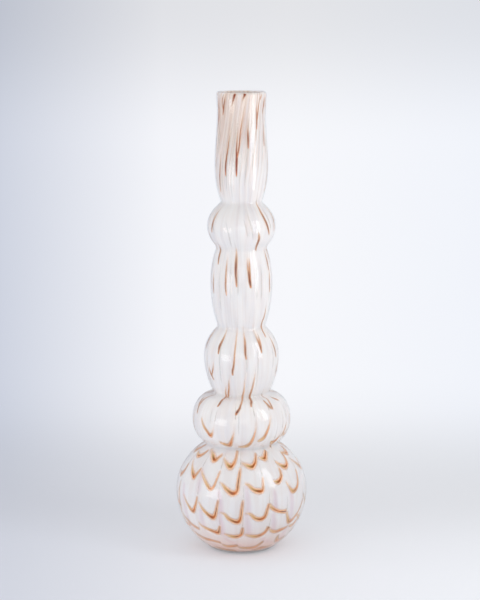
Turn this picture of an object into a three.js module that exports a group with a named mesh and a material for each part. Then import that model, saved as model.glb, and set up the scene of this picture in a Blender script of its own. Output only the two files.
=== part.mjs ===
import * as THREE from 'three';

// A tall vase of blown glass, in millimetres, +Z up, standing on z = 0 with its axis on Z.
// White opal glass holds the water. An amber thread is wound round it in turns and combed
// upward while it is hot, and clear glass is cased over both and folded in at the lip.

// The swellings from the foot up. Each runs for its length to the crease above it, where the
// glass was drawn in to the crease radius. Curl is the depth of its rounding.
const belly = { length: 132.5, radius: 80.4, creaseRadius: 43.6, curl: 83, widestShare: 0.55, steps: 10 };
const lowerBulb = { length: 61, radius: 60.3, creaseRadius: 33.4, curl: 23, widestShare: 0.49, steps: 7 };
const middleBulb = { length: 82.2, radius: 45.8, creaseRadius: 28.8, curl: 53.5, widestShare: 0.57, steps: 6 };
const barrel = { length: 97.7, radius: 37.7, creaseRadius: 30.1, curl: 44, widestShare: 0.55, steps: 5 };
const bead = { length: 53.8, radius: 41.5, creaseRadius: 24.5, curl: 61, widestShare: 0.46, steps: 6 };
const neck = { length: 132.8, radius: 32.3, curl: 22.6, widestShare: 0.33, steps: 7 };
const swellings = [belly, lowerBulb, middleBulb, barrel, bead, neck];

// The neck's upper end has no crease: it is drawn in to a waist and opens again to the mouth.
const waistShare = 0.81;
const waistRadius = 29.3;
const mouthRadius = 30.1;

const footCurveRadius = 37.5;
const footRounding = 3;
const creaseSoftness = 5;
const creaseFallShare = 4;
const flattestReachShare = 0.02;

// The layers of the wall, from the outside in.
const casingWall = 1.8;
const threadThickness = 0.8;
const threadPlay = 1.5;
const linerWall = 2.1;
const seatGap = 0.3;

const casingFloor = 8;
const linerFloor = 4;
const pontilRadius = 22;
const pontilDepth = 1.5;
const lipRise = 4;
const lipFold = 7;

// The comb is drawn up through the thread this many times round the vase.
const combStrokes = 16;
const neckTwist = THREE.MathUtils.degToRad(17);
const threadWidth = 3.4;
const mostStretchShare = 1.8;
const longestClimb = 9;
const unevenShare = 0.12;

// Where each turn of thread lies on its swelling: the shares of its low and its combed peak.
// On the belly they are counted from the floor up.
const threadShares = [
  { swelling: belly, name: 'belly', low: 0.07, peak: 0.11 },
  { swelling: belly, name: 'belly', low: 0.19, peak: 0.29 },
  { swelling: belly, name: 'belly', low: 0.37, peak: 0.54 },
  { swelling: belly, name: 'belly', low: 0.65, peak: 0.8 },
  { swelling: belly, name: 'belly', low: 0.87, peak: 0.945 },
  { swelling: lowerBulb, name: 'lower_bulb', low: 0.24, peak: 0.5 },
  { swelling: lowerBulb, name: 'lower_bulb', low: 0.71, peak: 0.84 },
  { swelling: middleBulb, name: 'middle_bulb', low: 0.4, peak: 0.66 },
  { swelling: barrel, name: 'barrel', low: 0.38, peak: 0.7 },
  { swelling: bead, name: 'bead', low: 0.4, peak: 0.6 },
  { swelling: neck, name: 'neck', low: 0.25, peak: 0.52 },
  { swelling: neck, name: 'neck', low: 0.72, peak: 0.84 },
];

// One comb cell: the thread's place across it, and its height between low and peak.
const cellShares = [[0, 1], [0.27, 0.45], [0.62, 0], [0.84, 0.45]];

const roundSides = 32;
const boreStepShare = 0.7;
const sectionCorners = 3;
const lipSteps = 6;
const cornerSteps = 3;
const pontilSteps = 3;
const slopeStep = 0.4;
const levelPasses = 12;

const opalGlass = new THREE.MeshStandardMaterial({ color: '#e8e6ea', roughness: 0.12, metalness: 0 });
const amberGlass = new THREE.MeshStandardMaterial({ color: '#b8704a', roughness: 0.15, metalness: 0 });
const clearGlass = new THREE.MeshStandardMaterial({
  color: '#f2f6fa',
  roughness: 0.05,
  metalness: 0,
  transparent: true,
  opacity: 0.25,
});

// Heights of each swelling's ends and of its widest place.
const levels = new Map();
let vaseHeight = 0;
for (const swelling of swellings) {
  const bottom = vaseHeight;
  vaseHeight += swelling.length;
  levels.set(swelling, { bottom, widest: bottom + swelling.length * swelling.widestShare, top: vaseHeight });
}
const waistHeight = levels.get(neck).bottom + neck.length * waistShare;

// Radius of one half of a swelling, at a distance from its widest place. It is part of an
// ellipse that comes down to the crease radius at the end of the span.
function halfSwelling(swelling, distance, span, creaseRadius) {
  const reach = THREE.MathUtils.clamp((swelling.radius - creaseRadius) / swelling.curl, flattestReachShare, 1);
  const wholeSpan = span / Math.sqrt(1 - (1 - reach) ** 2);
  const inside = Math.min(distance / wholeSpan, 1);
  const beyond = Math.max(distance - wholeSpan, 0);
  return swelling.radius - swelling.curl * (1 - Math.sqrt(1 - inside ** 2)) - beyond * creaseFallShare;
}

function neckRadius(height) {
  const widest = levels.get(neck).widest;
  const toWaist = THREE.MathUtils.smoothstep(height, widest, waistHeight);
  const toMouth = THREE.MathUtils.smoothstep(height, waistHeight, vaseHeight - lipRise);
  return THREE.MathUtils.lerp(THREE.MathUtils.lerp(neck.radius, waistRadius, toWaist), mouthRadius, toMouth);
}

function swellingRadius(swelling, creaseBelow, height) {
  const { bottom, widest, top } = levels.get(swelling);
  if (height <= widest) return halfSwelling(swelling, widest - height, widest - bottom, creaseBelow);
  if (swelling === neck) return neckRadius(height);
  return halfSwelling(swelling, height - widest, top - widest, swelling.creaseRadius);
}

// The larger of two radii, with a fillet where they cross: the softened crease.
function softLarger(first, second) {
  const blend = THREE.MathUtils.clamp(0.5 + (0.5 * (first - second)) / creaseSoftness, 0, 1);
  return THREE.MathUtils.lerp(second, first, blend) + creaseSoftness * blend * (1 - blend);
}

function outerRadius(height) {
  let radius = swellingRadius(belly, footCurveRadius, height);
  swellings.slice(1).forEach((swelling, index) => {
    radius = softLarger(swellingRadius(swelling, swellings[index].creaseRadius, height), radius);
  });
  return radius;
}

// A point of the wall at a depth under the outer surface, square to that surface.
function wallPoint(height, depth) {
  const slope = (outerRadius(height + slopeStep) - outerRadius(height - slopeStep)) / (2 * slopeStep);
  const run = Math.hypot(1, slope);
  return new THREE.Vector2(outerRadius(height) - depth / run, height + (depth * slope) / run);
}

// The same, found by its level instead of the height of the outer surface that it lies under.
function wallPointAtLevel(level, depth) {
  let height = level;
  for (let pass = 0; pass < levelPasses; pass += 1) height += level - wallPoint(height, depth).y;
  return new THREE.Vector2(wallPoint(height, depth).x, level);
}

// The narrowest place near the end of a swelling.
function creaseHeight(end) {
  let narrowest = end;
  for (let height = end - creaseSoftness; height < end + creaseSoftness; height += slopeStep) {
    if (outerRadius(height) < outerRadius(narrowest)) narrowest = height;
  }
  return narrowest;
}

// Heights along the outline, closer together near the creases, where it bends most.
function outlineHeights(stepShare) {
  const heights = [0];
  for (const swelling of swellings) {
    const bottom = heights.at(-1);
    const top = swelling === neck ? vaseHeight : creaseHeight(levels.get(swelling).top);
    const count = Math.round(swelling.steps * stepShare);
    for (let step = 1; step <= count; step += 1) {
      heights.push(bottom + ((top - bottom) * (1 - Math.cos((Math.PI * step) / count))) / 2);
    }
  }
  return heights;
}

const wallHeights = outlineHeights(1);
const boreHeights = outlineHeights(boreStepShare);

// One face of a wall: from the floor's edge, round the corner and up to the top height.
function layerOutline(depth, floor, top, heights) {
  const edge = new THREE.Vector2(wallPointAtLevel(floor, depth).x - footRounding, floor);
  const corner = wallPointAtLevel(floor, depth);
  const start = wallPointAtLevel(floor + footRounding, depth);
  const bend = new THREE.QuadraticBezierCurve(edge, corner, start).getPoints(cornerSteps);
  const side = heights
    .map((height) => wallPoint(height, depth))
    .filter((point) => point.y > start.y + slopeStep && point.y < top - slopeStep);
  return [...bend, ...side, wallPointAtLevel(top, depth)];
}

function lathe(outline, material, name) {
  const geometry = new THREE.LatheGeometry(outline, roundSides);
  geometry.rotateX(Math.PI / 2);
  const mesh = new THREE.Mesh(geometry, material);
  mesh.name = name;
  return mesh;
}

const linerDepth = casingWall + seatGap + threadThickness + threadPlay;
const boreDepth = linerDepth + linerWall;
const foldHeight = vaseHeight - lipFold;

// The clear outer glass: ground pontil hollow, foot, side, rounded lip and folded-in edge.
function makeCasing() {
  const outline = [];
  for (let step = 0; step < pontilSteps; step += 1) {
    const share = step / pontilSteps;
    outline.push(new THREE.Vector2(pontilRadius * share, pontilDepth * (1 - share ** 2)));
  }
  outline.push(new THREE.Vector2(pontilRadius, 0));
  outline.push(...layerOutline(0, 0, vaseHeight - lipRise, wallHeights));
  const mouthOuter = outline.at(-1).x;
  const bore = wallPointAtLevel(foldHeight, boreDepth).x;
  const middle = (mouthOuter + bore) / 2;
  for (let step = 1; step <= lipSteps; step += 1) {
    const turn = (Math.PI * step) / lipSteps;
    const across = ((mouthOuter - bore) / 2) * Math.cos(turn);
    outline.push(new THREE.Vector2(middle + across, vaseHeight - lipRise * (1 - Math.sin(turn))));
  }
  outline.push(new THREE.Vector2(bore, foldHeight));
  outline.push(...layerOutline(casingWall, casingFloor, foldHeight, wallHeights).reverse());
  outline.push(new THREE.Vector2(0, casingFloor));
  return lathe(outline, clearGlass, 'clear_casing');
}

// The white glass inside: it stands on the casing's floor and ends under the folded lip.
function makeLiner() {
  const base = casingFloor + seatGap;
  const top = foldHeight - seatGap;
  const outline = [new THREE.Vector2(0, base)];
  outline.push(...layerOutline(linerDepth, base, top, wallHeights));
  outline.push(...layerOutline(boreDepth, base + linerFloor, top, boreHeights).reverse());
  outline.push(new THREE.Vector2(0, base + linerFloor));
  return lathe(outline, opalGlass, 'opal_liner');
}

function twistAt(height) {
  return neckTwist * Math.max(0, (height - levels.get(neck).bottom) / neck.length);
}

// A point under the glass, where its flat facets lie, so that the thread keeps clear of both
// walls between them.
function facetPoint(height, angle, depth) {
  const above = Math.max(wallHeights.findIndex((level) => level > height), 1);
  const below = above - 1;
  const share = (height - wallHeights[below]) / (wallHeights[above] - wallHeights[below]);
  const point = wallPoint(wallHeights[below], depth).lerp(wallPoint(wallHeights[above], depth), share);
  const turn = angle + twistAt(height);
  const facet = (2 * Math.PI) / roundSides;
  const offMiddle = THREE.MathUtils.euclideanModulo(turn, facet) - facet / 2;
  const radius = (point.x * Math.cos(facet / 2)) / Math.cos(offMiddle);
  return [radius * Math.sin(turn), -radius * Math.cos(turn), point.y];
}

// The middle line of one turn of thread, combed to a peak at every stroke. Its steep arms
// have more points, so that they follow the curve of the glass.
function threadLine(swelling, lowShare, peakShare, turnNumber) {
  const bottom = Math.max(levels.get(swelling).bottom, casingFloor);
  const length = levels.get(swelling).top - bottom;
  const low = bottom + length * lowShare;
  const rise = length * (peakShare - lowShare);
  const corners = [];
  for (let stroke = 0; stroke < combStrokes; stroke += 1) {
    const uneven = 1 + unevenShare * Math.sin(stroke * turnNumber + turnNumber);
    for (const [acrossShare, riseShare] of cellShares) {
      const angle = (2 * Math.PI * (stroke + acrossShare)) / combStrokes;
      corners.push(new THREE.Vector2(angle, low + rise * riseShare * uneven));
    }
  }
  const closing = new THREE.Vector2(corners[0].x + 2 * Math.PI, corners[0].y);
  return corners.flatMap((corner, index) => {
    const next = corners[index + 1] ?? closing;
    const count = Math.max(Math.ceil(Math.abs(next.y - corner.y) / longestClimb), 1);
    return Array.from({ length: count }, (_, step) => corner.clone().lerp(next, step / count));
  });
}

// Half the thread's height at a place: a steep stretch is taller, so it keeps its width.
function halfThread(line, index) {
  const here = line[index];
  const before = line.at(index - 1);
  const after = line[(index + 1) % line.length];
  const climb = Math.max(Math.abs(after.y - here.y), Math.abs(here.y - before.y));
  const run = (outerRadius(here.y) * 2 * Math.PI) / line.length;
  return (threadWidth / 2) * Math.min(Math.hypot(1, climb / run), mostStretchShare);
}

// A closed ring with a flat back towards the white glass and a ridge outside.
function makeThread(swelling, low, peak, name, turnNumber) {
  const line = threadLine(swelling, low, peak, turnNumber);
  const ridgeDepth = casingWall + seatGap;
  const backDepth = ridgeDepth + threadThickness;
  const positions = [];
  const faces = [];
  line.forEach(({ x: angle, y: height }, index) => {
    const half = halfThread(line, index);
    positions.push(...facetPoint(height - half, angle, backDepth));
    positions.push(...facetPoint(height, angle, ridgeDepth));
    positions.push(...facetPoint(height + half, angle, backDepth));
    const here = index * sectionCorners;
    const there = ((index + 1) % line.length) * sectionCorners;
    for (let side = 0; side < sectionCorners; side += 1) {
      const next = (side + 1) % sectionCorners;
      faces.push(here + side, there + side, there + next);
      faces.push(here + side, there + next, here + next);
    }
  });
  const geometry = new THREE.BufferGeometry();
  geometry.setAttribute('position', new THREE.Float32BufferAttribute(positions, 3));
  geometry.setIndex(faces);
  geometry.computeVertexNormals();
  const mesh = new THREE.Mesh(geometry, amberGlass);
  mesh.name = name;
  return mesh;
}

const vase = new THREE.Group();
vase.name = 'vase';
vase.add(makeLiner());
const turnCounts = new Map();
threadShares.forEach(({ swelling, name, low, peak }, index) => {
  const count = (turnCounts.get(name) ?? 0) + 1;
  turnCounts.set(name, count);
  vase.add(makeThread(swelling, low, peak, `thread_${name}_${count}`, index + 1));
});
vase.add(makeCasing());

export default vase;
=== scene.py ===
import math
import random

import bpy
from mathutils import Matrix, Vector


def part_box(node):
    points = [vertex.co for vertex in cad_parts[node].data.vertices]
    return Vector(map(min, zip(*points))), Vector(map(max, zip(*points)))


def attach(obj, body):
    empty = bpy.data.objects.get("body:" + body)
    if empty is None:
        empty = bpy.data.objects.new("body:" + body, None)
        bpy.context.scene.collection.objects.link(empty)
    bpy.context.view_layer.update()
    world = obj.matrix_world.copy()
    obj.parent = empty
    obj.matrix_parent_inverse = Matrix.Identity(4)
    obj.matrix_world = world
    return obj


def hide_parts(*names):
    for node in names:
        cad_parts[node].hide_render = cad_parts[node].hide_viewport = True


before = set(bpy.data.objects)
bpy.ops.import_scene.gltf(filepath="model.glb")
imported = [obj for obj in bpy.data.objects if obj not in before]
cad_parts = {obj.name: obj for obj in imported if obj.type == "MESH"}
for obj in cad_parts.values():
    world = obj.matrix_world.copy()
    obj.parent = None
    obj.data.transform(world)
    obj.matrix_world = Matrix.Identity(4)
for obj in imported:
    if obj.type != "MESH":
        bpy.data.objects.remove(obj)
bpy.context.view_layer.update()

# A tall blown glass vase: white opal glass, amber thread combed up into festoons, and clear
# glass over both. Everything is in metres, +Z up, with the vase's axis on Z.

random.seed(16)
millimetre = 0.001

# The blown form, from the foot up: each swelling's length, its widest radius, the radius of the
# crease above it, how round its sides are and how far up it is widest
swellings = [
    {"length": 0.1325, "radius": 0.0804, "crease": 0.0436, "curl": 0.083, "widestShare": 0.55},  # belly
    {"length": 0.061, "radius": 0.0603, "crease": 0.0334, "curl": 0.023, "widestShare": 0.49},  # lower bulb
    {"length": 0.0822, "radius": 0.0458, "crease": 0.0288, "curl": 0.0535, "widestShare": 0.57},  # mid bulb
    {"length": 0.0977, "radius": 0.0377, "crease": 0.0301, "curl": 0.044, "widestShare": 0.55},  # barrel
    {"length": 0.0538, "radius": 0.0415, "crease": 0.0245, "curl": 0.061, "widestShare": 0.46},  # bead
    {"length": 0.1328, "radius": 0.0323, "crease": 0.0293, "curl": 0.0226, "widestShare": 0.33},  # neck
]
form = {
    "height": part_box("clear_casing")[1].z,
    "footCurveRadius": 0.0375,
    "waistShare": 0.81,
    "waistRadius": 0.0293,
    "mouthRadius": 0.0301,
    "lipRise": 0.004,
    "creaseSoftness": 0.005,
    "creaseFallShare": 4,
    "slopeStep": 0.0004,
    "leastReach": 0.02,
    "creaseRows": (-3, -2, -1.2, -0.6, 0, 0.6, 1.2, 2, 3),  # closer rows at a crease, in millimetres
    "weldDistance": 0.000005,
    "sharpAngle": 50,
}

# The layers of the wall, as depths under the outer surface
layers = {
    "casing": 0.0006,
    "thread": 0.0008,
    "threadSink": 0.00025,
    "opal": 0.0011,
    "bore": 0.0065,
}


def lerp(first, second, share):
    return first + (second - first) * share


def smoothstep(value, low, high):
    share = min(max((value - low) / (high - low), 0), 1)
    return share * share * (3 - 2 * share)


def stackSwellings():
    bottom = 0
    for swelling in swellings:
        swelling["bottom"] = bottom
        swelling["widest"] = bottom + swelling["length"] * swelling["widestShare"]
        bottom += swelling["length"]
        swelling["top"] = bottom


def halfSwelling(swelling, distance, span, creaseRadius):
    reach = min(max((swelling["radius"] - creaseRadius) / swelling["curl"], form["leastReach"]), 1)
    wholeSpan = span / math.sqrt(1 - (1 - reach) ** 2)
    inside = min(distance / wholeSpan, 1)
    beyond = max(distance - wholeSpan, 0)
    fall = swelling["curl"] * (1 - math.sqrt(1 - inside**2))
    return swelling["radius"] - fall - beyond * form["creaseFallShare"]


def neckRadius(height):
    neck = swellings[-1]
    waistHeight = neck["bottom"] + neck["length"] * form["waistShare"]
    toWaist = smoothstep(height, neck["widest"], waistHeight)
    toMouth = smoothstep(height, waistHeight, form["height"] - form["lipRise"])
    return lerp(lerp(neck["radius"], form["waistRadius"], toWaist), form["mouthRadius"], toMouth)


def swellingRadius(index, height):
    swelling = swellings[index]
    creaseBelow = swellings[index - 1]["crease"] if index else form["footCurveRadius"]
    widest = swelling["widest"]
    if height <= widest:
        return halfSwelling(swelling, widest - height, widest - swelling["bottom"], creaseBelow)
    if index == len(swellings) - 1:
        return neckRadius(height)
    return halfSwelling(swelling, height - widest, swelling["top"] - widest, swelling["crease"])


def softLarger(first, second):
    softness = form["creaseSoftness"]
    blend = min(max(0.5 + 0.5 * (first - second) / softness, 0), 1)
    return lerp(second, first, blend) + softness * blend * (1 - blend)


def outerRadius(height):
    top = form["height"] - form["lipRise"]
    level = min(height, top)
    radius = swellingRadius(0, level)
    for index in range(1, len(swellings)):
        radius = softLarger(swellingRadius(index, level), radius)
    overLip = min(max(height - top, 0) / form["lipRise"], 1)
    return radius - layers["bore"] / 2 * (1 - math.sqrt(1 - overLip**2))


def wallPoint(height, depth):  # radius and height of a point under the outer surface, square to it
    step = form["slopeStep"]
    slope = (outerRadius(height + step) - outerRadius(height - step)) / (2 * step)
    run = math.hypot(1, slope)
    return outerRadius(height) - depth / run, height + depth * slope / run


def onGlass(angle, height, depth):  # angle in degrees, 0 to the front and growing to the right
    radius, level = wallPoint(height, depth)
    turn = math.radians(angle)
    return Vector((radius * math.sin(turn), -radius * math.cos(turn), level))


stackSwellings()


# Small helpers for modelling
def deselectAll():
    bpy.ops.object.select_all(action="DESELECT")


def finishMesh(piece, sharpAngle=None):
    deselectAll()
    piece.select_set(True)
    bpy.context.view_layer.objects.active = piece
    if sharpAngle is None:
        bpy.ops.object.shade_smooth()
    else:
        bpy.ops.object.shade_smooth_by_angle(angle=math.radians(sharpAngle))
    bpy.ops.object.transform_apply(location=True, rotation=True, scale=True)


def spinOutline(name, outline, steps):
    deselectAll()
    bpy.ops.mesh.primitive_plane_add(size=millimetre, location=(0, 0, 0))
    piece = bpy.context.object
    piece.name = name
    piece.data.name = name
    bpy.ops.object.mode_set(mode="EDIT")
    bpy.ops.mesh.select_all(action="SELECT")
    bpy.ops.mesh.merge(type="CENTER")
    before = (0, 0)
    for index, point in enumerate(outline):
        shift = (point[0] - before[0], 0, point[1] - before[1])
        if index == 0:
            bpy.ops.transform.translate(value=shift)
        else:
            bpy.ops.mesh.extrude_region_move(TRANSFORM_OT_translate={"value": shift})
        before = point
    bpy.ops.mesh.select_all(action="SELECT")
    bpy.ops.mesh.spin(steps=steps, angle=2 * math.pi, center=(0, 0, 0), axis=(0, 0, 1))
    bpy.ops.mesh.select_all(action="SELECT")
    bpy.ops.mesh.remove_doubles(threshold=form["weldDistance"])
    bpy.ops.mesh.normals_make_consistent(inside=False)
    bpy.ops.object.mode_set(mode="OBJECT")
    return piece


def heightsUpWall(low, high, step):  # even steps, with closer ones where two swellings meet
    count = max(round((high - low) / step), 1)
    heights = [lerp(low, high, index / count) for index in range(count + 1)]
    for swelling in swellings[:-1]:
        near = [swelling["top"] + shift * millimetre for shift in form["creaseRows"]]
        heights = [height for height in heights if not near[0] - step / 2 < height < near[-1] + step / 2]
        heights += near
    return sorted(heights)


def roundOver(start, end, rise, steps):  # points from one edge of a wall over its top to the other
    middle = (start[0] + end[0]) / 2
    reach = (start[0] - end[0]) / 2
    points = []
    for step in range(1, steps):
        turn = math.pi * step / steps
        points.append((middle + reach * math.cos(turn), start[1] + rise * math.sin(turn)))
    return points


# Materials
def colour(text):  # an sRGB hex value as linear RGBA
    parts = [int(text[place : place + 2], 16) / 255 for place in (1, 3, 5)]
    linear = [part / 12.92 if part <= 0.04045 else ((part + 0.055) / 1.055) ** 2.4 for part in parts]
    return (*linear, 1)


def newMaterial(name):
    material = bpy.data.materials.new(name)
    material.use_nodes = True
    material.node_tree.nodes.clear()
    return material


def addNode(material, kind, settings):  # a setting that is another node or its socket is linked
    node = material.node_tree.nodes.new("ShaderNode" + kind)
    for name, value in settings.items():
        if isinstance(value, bpy.types.Node):
            value = value.outputs[0]
        if isinstance(value, bpy.types.NodeSocket):
            material.node_tree.links.new(value, node.inputs[name])
        elif isinstance(name, int) or name in node.inputs:
            node.inputs[name].default_value = value
        else:
            setattr(node, name, value)
    return node


def setRamp(node, stops):
    ramp = node.color_ramp
    while len(ramp.elements) < len(stops):
        ramp.elements.new(0.5)
    for element, (place, value) in zip(ramp.elements, stops):
        element.position = place
        element.color = colour(value)
    return node


def rangesIn(look):  # each range is where it starts and ends, and what it gives there
    ends = ("From Min", "From Max", "To Min", "To Max")
    return {name: dict(zip(ends, numbers)) for name, numbers in look["ranges"].items()}


smooth = {"interpolation_type": "SMOOTHSTEP"}

opalLook = {
    "white": "#f4f0ef",
    "cloud": "#efecec",
    "cloudScale": 28.0,  # clouds of about 36 mm
    # painted shade: the belly is a little darker and greyer
    "belly": "#eae8e9",
    "stain": "#d8c3cf",
    "neck": "#e9dcd3",
    "neckSlant": -2.4,
    "foot": "#f0bda6",
    "footShare": 0.8,
    "footPower": 2.4,
    "streakLength": 75 * millimetre,
    "streakGrain": {"Scale": 1.0, "Detail": 3.0, "Roughness": 0.6},
    "roughness": 0.25,
    "ior": 1.5,
    "specular": 0.1,  # the casing over it gives the gloss
    "scatter": (1.0, 0.9, 0.85),
    "scatterReach": 8 * millimetre,
    "ranges": {
        "belly": (0.12, 0.145, 1, 0),
        "neck": (0.462, 0.565, 0, 1),
        "twist": (0.455, 0.56, 0, math.radians(-26)),
        "foot": (0.004, 0.065, 1, 0),
        "streak": (0.46, 0.64, 0, 1),
    },
}
# Streaks drawn up the glass: the colour, how far apart they lie, and how they grow up the vase
opalStreaks = [
    {"colour": "#dfdbde", "spacing": 6 * millimetre, "ranges": {"strength": (0.2, 0.5, 0.42, 0.7)}},
    {"colour": "#cdb5a8", "spacing": 2 * millimetre, "ranges": {"strength": (0.43, 0.52, 0.14, 0.7)}},
]


def makeOpalGlass():  # opal glass, blown: milky white that takes light in, with fine drawn streaks
    look = opalLook
    ranges = rangesIn(look)
    material = newMaterial("blownOpalGlass")
    place = addNode(material, "TexCoord", {}).outputs["Object"]
    split = addNode(material, "SeparateXYZ", {0: place})
    height = split.outputs[2]
    clouds = addNode(material, "TexNoise", {"Vector": place, "Scale": look["cloudScale"], "Detail": 2.0})
    stain = addNode(material, "Attribute", {"attribute_name": "stain"})
    # The neck is warm with amber drawn thin, from lower down on the left than on the right
    slanted = addNode(
        material, "Math", {"operation": "MULTIPLY_ADD", 0: split.outputs[0], 1: look["neckSlant"], 2: height}
    )
    warm = addNode(material, "MapRange", {**smooth, "Value": slanted, **ranges["neck"]})
    belly, twist, low = [
        addNode(material, "MapRange", {"Value": height, **ranges[name]})
        for name in ("belly", "twist", "foot")
    ]
    # Peach towards the foot, where the thread's first turns melted in
    steep = addNode(material, "Math", {"operation": "POWER", 0: low, 1: look["footPower"]})
    peach = addNode(material, "Math", {"operation": "MULTIPLY", 0: steep, 1: look["footShare"]})
    # The streaks follow the comb, which twists to the right up the neck
    turned = addNode(material, "VectorRotate", {"rotation_type": "Z_AXIS", "Vector": place, "Angle": twist})
    level = addNode(material, "VectorMath", {"operation": "MULTIPLY", 0: turned, 1: (1, 1, 0)})
    around = addNode(material, "VectorMath", {"operation": "NORMALIZE", 0: level})
    along = addNode(material, "Math", {"operation": "DIVIDE", 0: height, 1: look["streakLength"]})
    lift = addNode(material, "CombineXYZ", {2: along})
    streaks = []
    for streak in opalStreaks:
        pitch = form["waistRadius"] / streak["spacing"]
        spread = addNode(material, "VectorMath", {"operation": "SCALE", 0: around, "Scale": pitch})
        drawn = addNode(material, "VectorMath", {"operation": "ADD", 0: spread, 1: lift})
        lines = addNode(material, "TexNoise", {"Vector": drawn, **look["streakGrain"]})
        share = addNode(material, "MapRange", {"Value": lines, **ranges["streak"]})
        strength = addNode(material, "MapRange", {"Value": height, **rangesIn(streak)["strength"]})
        shown = addNode(material, "Math", {"operation": "MULTIPLY", 0: share, 1: strength})
        streaks.append((shown, streak["colour"]))
    # One tint over the other; the belly is painted a little greyer and darker, as shade, and mauve where the
    # hook drew it thin
    shade = colour(look["white"])
    for share, tint in (
        (clouds, look["cloud"]),
        (belly, look["belly"]),
        (stain.outputs["Fac"], look["stain"]),
        (warm, look["neck"]),
        *streaks,
        (peach, look["foot"]),
    ):
        blend = {"data_type": "RGBA", 0: share, 6: shade, 7: colour(tint)}
        shade = addNode(material, "Mix", blend).outputs[2]
    shader = addNode(
        material,
        "BsdfPrincipled",
        {
            "Base Color": shade,
            "Roughness": look["roughness"],
            "IOR": look["ior"],
            "Specular IOR Level": look["specular"],
            "Subsurface Weight": 1.0,
            "Subsurface Radius": look["scatter"],
            "Subsurface Scale": look["scatterReach"],
        },
    )
    addNode(material, "OutputMaterial", {"Surface": shader})
    return material


# Colours along a line, from where it starts to where it ends, in its body and in its thick heart
threadLook = {
    "bellyBody": [
        (0.02, "#dcd3b6"),
        (0.28, "#d2b97e"),
        (0.48, "#dc9440"),
        (0.66, "#e8933c"),
        (0.8, "#cfa37e"),
        (1.0, "#b0968a"),
    ],
    "bellyHeart": [
        (0.02, "#cfc298"),
        (0.28, "#b3924c"),
        (0.46, "#94480a"),
        (0.62, "#c2640c"),
        (0.76, "#8e5a34"),
        (1.0, "#6e4a40"),
    ],
    "dropBody": [(0.0, "#f8b080"), (0.22, "#dc8f5a"), (0.55, "#cfaa92"), (1.0, "#cfc6b8")],
    "dropHeart": [(0.03, "#d08248"), (0.14, "#5c2008"), (0.4, "#7e3e22"), (0.95, "#b8a48c")],
    "neckHeart": [(0.03, "#d8743c"), (0.14, "#7c2408"), (0.45, "#8c4020"), (0.95, "#a88878")],
    "thin": [(0.4, "#d3b7a4"), (0.55, "#c6c0b6")],
    "fringe": "#ffc699",
    "ripple": 4 * millimetre,
    "toneLimits": (0.1, 0.25, 0.35),  # under the tones of a drop, a drop of the neck and a faint line
    "roughness": 0.3,
    "ior": 1.5,
    "specular": 0.1,
    "ranges": {
        "shiver": (0.3, 0.7, -0.25, 0.25),
        "line": (0.25, 1.5, 1, 0),
        "fringe": (0.1, 1, 1, 0),
        "fringeCover": (0, 0.8, 0, 0.78),
        "lineCover": (0, 0.5, 0, 0.98),
        "body": (0.12, 0.5, 0, 1),
        "heart": (0.38, 0.76, 0, 1),
    },
}
lineNotes = ("weight", "progress", "spread", "tone")  # what each ribbon's points say about the line


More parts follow.
